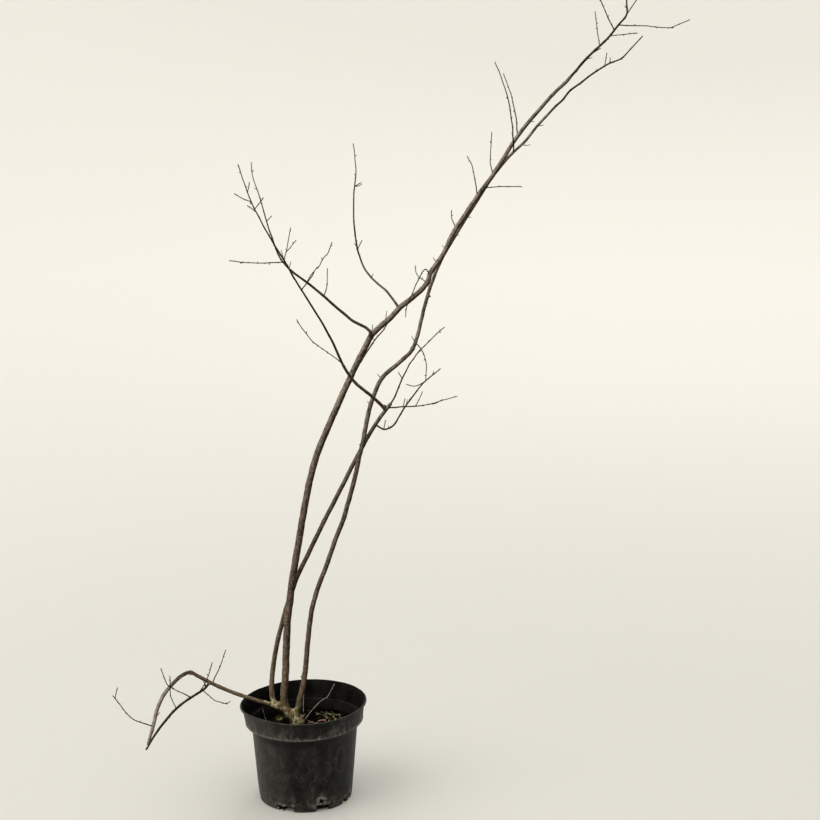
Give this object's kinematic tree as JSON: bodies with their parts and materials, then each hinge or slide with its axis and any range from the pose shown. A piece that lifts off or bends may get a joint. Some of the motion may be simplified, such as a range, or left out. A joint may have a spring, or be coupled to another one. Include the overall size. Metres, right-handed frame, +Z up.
{
  "type": "potted bare winterberry shrub",
  "caption": "Deciduous shrub in winter, leafless, with slender leaning stems, boughs and fine twigs from one root crown, in a round black nursery pot filled with soil.",
  "frame": {"origin": "centre of the pot's flat underside, where it stands", "axes": "+Z up along the pot's axis, +X to the right as the picture shows the plant, +Y away from the viewer"},
  "size_m": [1.0104, 0.3793, 1.4891],
  "materials": {
    "pot": "soft black moulded plastic with dusty grey scuffs and scratches",
    "soil": "dark moist peat and bark potting soil, loose crumbs",
    "crown_bark": "straw-tan fibrous bark of the root crown",
    "stem_bark": "smooth brown bark with pale pores and grey patches",
    "bough_bark": "smooth dark brown bark with pale pores",
    "twigs": "thin grey-brown bark with small dark buds"
  },
  "bodies": {
    "root": {"pot": "pot", "soil": "soil", "root_crown": "crown_bark", "stem_middle": "stem_bark", "stem_right": "stem_bark", "stem_left": "stem_bark", "low_stem_rise": "stem_bark", "low_stem_fall": "stem_bark", "bough_left_back": "bough_bark", "bough_left_front": "bough_bark", "bough_upright": "bough_bark", "twigs_top": "twigs", "twigs_right": "twigs", "twigs_left_back": "twigs", "twigs_left_front": "twigs", "twigs_upright": "twigs", "twigs_whip_front": "twigs", "twigs_whip_back": "twigs", "twigs_whip_middle": "twigs", "twigs_hooked": "twigs", "twigs_level": "twigs", "twigs_short": "twigs", "twigs_drooping": "twigs", "twigs_behind": "twigs", "twigs_climbing": "twigs", "twigs_inner_front": "twigs", "twigs_inner_back": "twigs", "twigs_inner_left": "twigs", "twigs_fork_up": "twigs", "twigs_fork_right": "twigs", "twigs_rising": "twigs", "twigs_arc": "twigs", "twigs_low_tip": "twigs", "twigs_low_front": "twigs", "twigs_low_back": "twigs"}
  },
  "joints": []
}
